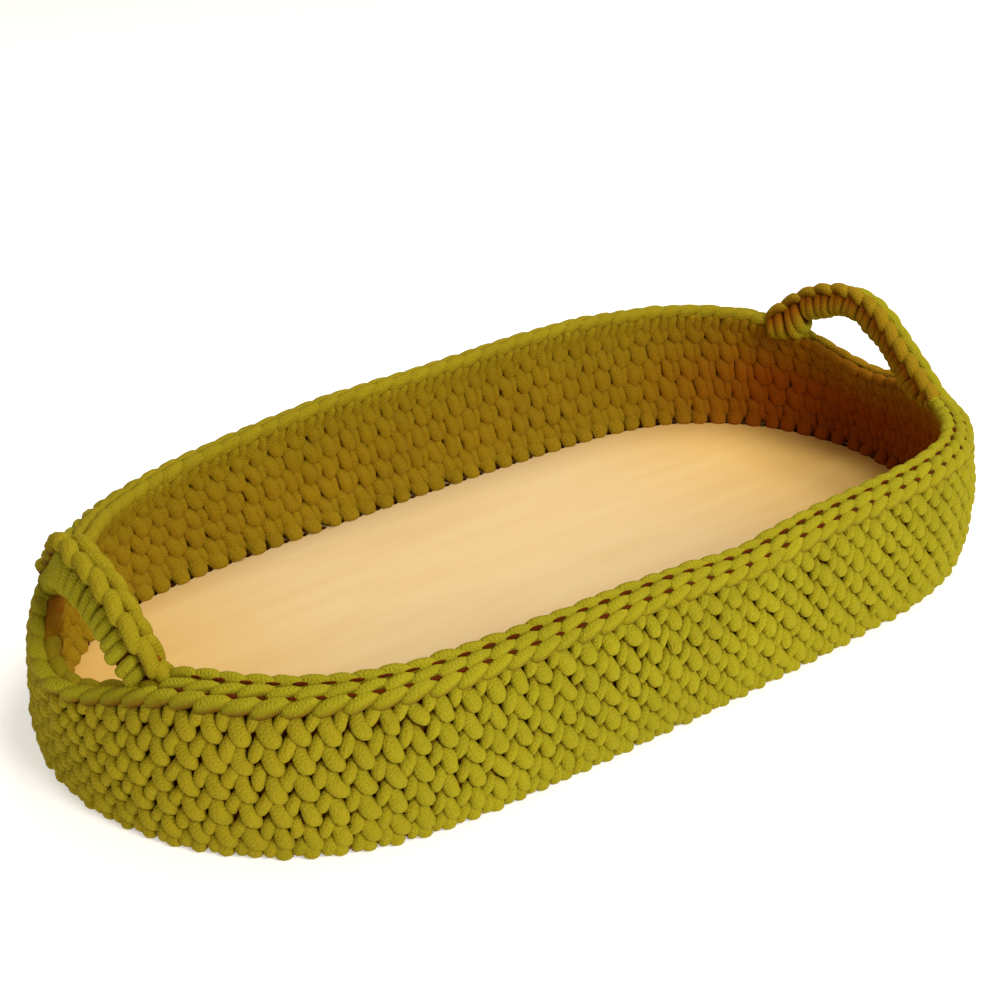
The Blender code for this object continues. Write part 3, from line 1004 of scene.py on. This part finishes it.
class Handle:
    """Soft arch given by stations in the handle's upright frame."""

    def __init__(self, side, stations):
        self.side = side
        table = np.array(stations)[None]
        fine = smooth_path(table, 40 * len(stations))[0]
        self.top, self.bottom = fine[:, :3], fine[:, 3:]
        step = np.linalg.norm(np.diff(self.top, axis=0), axis=1)
        self.run = np.concatenate([[0], np.cumsum(step)])
        self.stitches = round(self.run[-1] / PITCH)

    def at(self, line, stitch):
        """Points (x, y, z) on the top or bottom line at stitch numbers along the handle."""
        run = np.clip(np.asarray(stitch) / self.stitches, 0, 1) * self.run[-1]
        return np.stack([np.interp(run, self.run, line[:, k]) for k in range(3)], axis=-1)

    def world(self, points):
        """World places of points in the handle's upright frame."""
        return handle_world(self.side, points[..., 0], points[..., 1], points[..., 2])

    def braid(self, yarn):
        """Two lanes of grains along the arch's top, mirror images of each other."""
        stitches = np.arange(self.stitches) + 0.5
        count = len(stitches)
        levels = np.full((count, ALONG), STRAND_LEVEL)
        for lane in (1, -1):
            path = [(along, -lane * across, up) for along, across, up in BRAID_GRAIN]
            control = np.array([path]).repeat(count, axis=0)
            control[:, :, 0] += stitches[:, None]
            control += strand_noise(control)
            line = smooth_path(control, ALONG)
            here = self.at(self.top, line[..., 0])
            below = self.at(self.bottom, line[..., 0])
            along = unit(self.at(self.top, line[..., 0] + 0.1) - self.at(self.top, line[..., 0] - 0.1))
            up = unit(here - below)
            up = unit(up - along * np.sum(up * along, axis=-1, keepdims=True))
            across = np.cross(along, up)
            across = across * np.sign(across[..., :1])
            spot = here + across * (lane * BRAID_HALF + line[..., 1:2]) + up * line[..., 2:3]
            world, above = self.world(spot), self.world(spot + up * STEP)
            size = 1 + rng.normal(0, STRAND_SPREAD, (count, 1))
            shape = BRAID_RADIUS * grain_radius(ALONG, 3)[None] * size
            # Painted shade on the whole left braid and on the right braid's inner lane
            painted_shade_amount = LEFT_GLOOM if self.side < 0 else INNER_LANE_GLOOM if lane < 0 else 0.0
            yarn.add(world, unit(above - world), shape, BRAID_FLATNESS * shape, levels, painted_shade_amount)

    def posts(self, yarn):
        """Cord from the braid down one face, round the opening's edge and up the other face."""
        at = np.arange(2 * self.stitches) // 2 + np.tile(POST_PLACES, self.stitches)
        count = len(at)
        steps = 2 * ALONG
        top, bottom = self.at(self.top, at)[:, None], self.at(self.bottom, at)[:, None]
        down, through = np.array(POST_SECTION)[:, 0, None], np.array(POST_SECTION)[:, 1, None]
        down = down[None] + rng.normal(0, POST_SHIFT, (count, 1, 1))
        centre = top + (bottom - top) * down
        control = centre + through[None] * np.array([1.0, 0.0, 0.0])
        control += rng.normal(0, 1, control.shape) * LOOSENESS * PITCH * STRAND_SLACK
        world = self.world(smooth_path(control, steps))
        middle = self.world(top + (bottom - top) * POST_MIDDLE)
        shape = grain_radius(steps, 8)[None] * (1 + rng.normal(0, POST_SPREAD, (count, 1)))
        # Painted shade on each post's inner half, the handle's inner face
        gloom = np.interp(np.arange(steps), (ALONG, 1.6 * ALONG), (0.0, HANDLE_GLOOM))
        width, thickness = HANDLE_POST
        levels = np.full((count, steps), STRAND_LEVEL)
        yarn.add(world, unit(world - middle), width * shape, thickness * shape, levels, gloom)


def handle_core(handle, name, material):
    """The inside of a handle, a closed band between its top and its lower edge, painted in full shade.
    """
    at = np.linspace(HANDLE_CORE_END, handle.stitches - HANDLE_CORE_END, HANDLE_CORE_STEPS)
    top, bottom = handle.at(handle.top, at), handle.at(handle.bottom, at)
    high = top + (bottom - top) * HANDLE_CORE_TOP
    low = top + (bottom - top) * HANDLE_CORE_BOTTOM
    thick = np.array([HANDLE_CORE_HALF, 0, 0])
    ring = np.stack([high + thick, low + thick, low - thick, high - thick], axis=1)
    points = handle.world(ring).reshape(-1, 3)
    index = np.arange(len(points)).reshape(len(at), 4)
    here, there = index[:-1], index[1:]
    faces = np.stack([here, np.roll(here, -1, 1), np.roll(there, -1, 1), there], axis=-1)
    faces = faces.reshape(-1, 4).tolist() + [index[0].tolist(), index[-1][::-1].tolist()]
    return shade_painted_mesh(name, points, faces, material)


for name, side, stations in (("right", 1, RIGHT_HANDLE), ("left", -1, LEFT_HANDLE)):
    handle = Handle(side, stations)
    yarn = Yarn()
    handle.braid(yarn)
    handle.posts(yarn)
    cords = yarn.make(f"{name}_handle_cord", cord)
    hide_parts(f"handle_{name}_posts", f"handle_{name}_outer_strand", f"handle_{name}_inner_strand")
    for piece in (cords, handle_core(handle, f"{name}_handle_core", cord)):
        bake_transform(piece)


# Floor, light and camera
def background():
    """White to the camera, and a dimmer warm light for all else."""
    world = bpy.data.worlds.new("studio")
    bpy.context.scene.world = world
    world.use_nodes = True
    tree = world.node_tree
    shader = tree.nodes["Background"]
    rays = tree.nodes.new("ShaderNodeLightPath").outputs
    seen = calculation(tree, "MAXIMUM", rays["Is Camera Ray"], rays["Is Transmission Ray"])
    link(tree, mixed(tree, seen, WARM_WHITE, WHITE), shader.inputs["Color"])
    power = tree.nodes.new("ShaderNodeMapRange")
    power.inputs["To Min"].default_value = WORLD_LIGHT
    power.inputs["To Max"].default_value = 1.0
    link(tree, seen, power.inputs["Value"])
    link(tree, power.outputs["Result"], shader.inputs["Strength"])


def floor():
    """A wide sheet of white paper under the basket."""
    mesh = bpy.data.meshes.new("floor")
    corners = [(x * FLOOR_HALF, y * FLOOR_HALF, 0) for x, y in ((-1, -1), (1, -1), (1, 1), (-1, 1))]
    mesh.from_pydata(corners, [], [(0, 1, 2, 3)])
    mat = bpy.data.materials.new("floor_paper")
    mat.use_nodes = True
    shader = mat.node_tree.nodes["Principled BSDF"]
    shader.inputs["Base Color"].default_value = (*PAPER, 1)
    shader.inputs["Roughness"].default_value = 0.9
    shader.inputs["Emission Color"].default_value = (*WHITE, 1)
    shader.inputs["Emission Strength"].default_value = 0.45
    mesh.materials.append(mat)
    add_object("floor", mesh)


def area_light(name, place, aim, size, power, colour):
    """A round lamp at a place, turned to its aim."""
    data = bpy.data.lights.new(name, "AREA")
    data.shape = "DISK"
    data.size = size
    data.energy = power
    data.color = colour
    obj = add_object(name, data)
    obj.location = place
    obj.rotation_euler = (Vector(aim) - Vector(place)).to_track_quat("-Z", "Y").to_euler()


def camera_at_photo():
    """The camera where the photograph was taken."""
    view = bpy.data.cameras.new("camera")
    view.lens = CAMERA_LENS
    view.sensor_width = SENSOR
    view.clip_start = 0.05
    camera = add_object("camera", view)
    level = math.cos(CAMERA_ELEVATION)
    toward = Vector(
        (
            math.sin(CAMERA_AZIMUTH) * level,
            -math.cos(CAMERA_AZIMUTH) * level,
            math.sin(CAMERA_ELEVATION),
        )
    )
    right = Vector((math.cos(CAMERA_AZIMUTH), math.sin(CAMERA_AZIMUTH), 0))
    right = Matrix.Rotation(CAMERA_ROLL, 3, toward) @ right
    up = toward.cross(right)
    place = Vector(CAMERA_TARGET) + toward * CAMERA_DISTANCE
    turn = Matrix((right, up, toward)).transposed().to_4x4()
    camera.matrix_world = Matrix.Translation(place) @ turn
    bpy.context.scene.camera = camera


background()
floor()
for lamp in LAMPS:
    area_light(*lamp)
camera_at_photo()
bpy.context.scene.view_settings.view_transform = "Standard"
